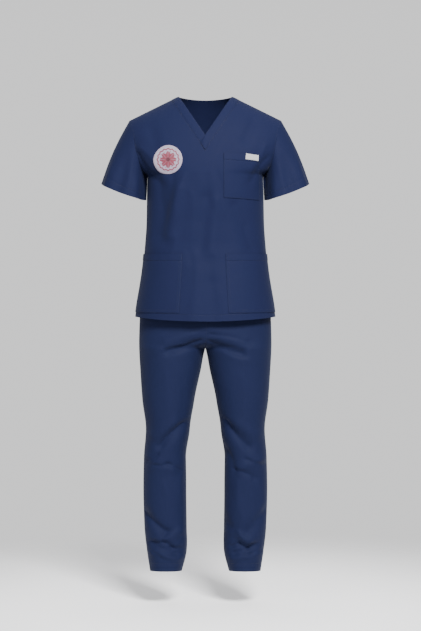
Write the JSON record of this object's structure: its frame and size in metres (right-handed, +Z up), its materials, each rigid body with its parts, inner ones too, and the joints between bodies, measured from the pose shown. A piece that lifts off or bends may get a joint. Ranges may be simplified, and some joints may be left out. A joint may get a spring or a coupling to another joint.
{
  "type": "nurse uniform",
  "caption": "Scrub set held in its worn shape: V-neck short-sleeved top with chest and hip pockets over straight trousers, open at neck, cuffs, hem and ankles.",
  "frame": {"origin": "on the centre line, level with the top of the shoulder seams at the neck, where the wearer's shoulders hold the top up", "axes": "+Z up, -Y towards the front, +X towards the wearer's left"},
  "size_m": [0.648, 0.2915, 1.4804],
  "materials": {
    "navy_top": "navy poplin, matt with a faint sheen",
    "navy_trousers": "navy poplin, matt with a faint sheen",
    "patch_twill": "pale pink twill with rose embroidery",
    "label_tape": "plain white woven tape"
  },
  "bodies": {
    "root": {"top_front": "navy_top", "top_back": "navy_top", "sleeve_left": "navy_top", "sleeve_right": "navy_top", "neck_band_left": "navy_top", "neck_band_right": "navy_top", "chest_pocket": "navy_top", "hip_pocket_left": "navy_top", "hip_pocket_right": "navy_top", "chest_patch": "patch_twill", "pocket_label": "label_tape", "leg_front_left": "navy_trousers", "leg_back_left": "navy_trousers", "leg_front_right": "navy_trousers", "leg_back_right": "navy_trousers", "waistband": "navy_trousers"}
  },
  "joints": []
}
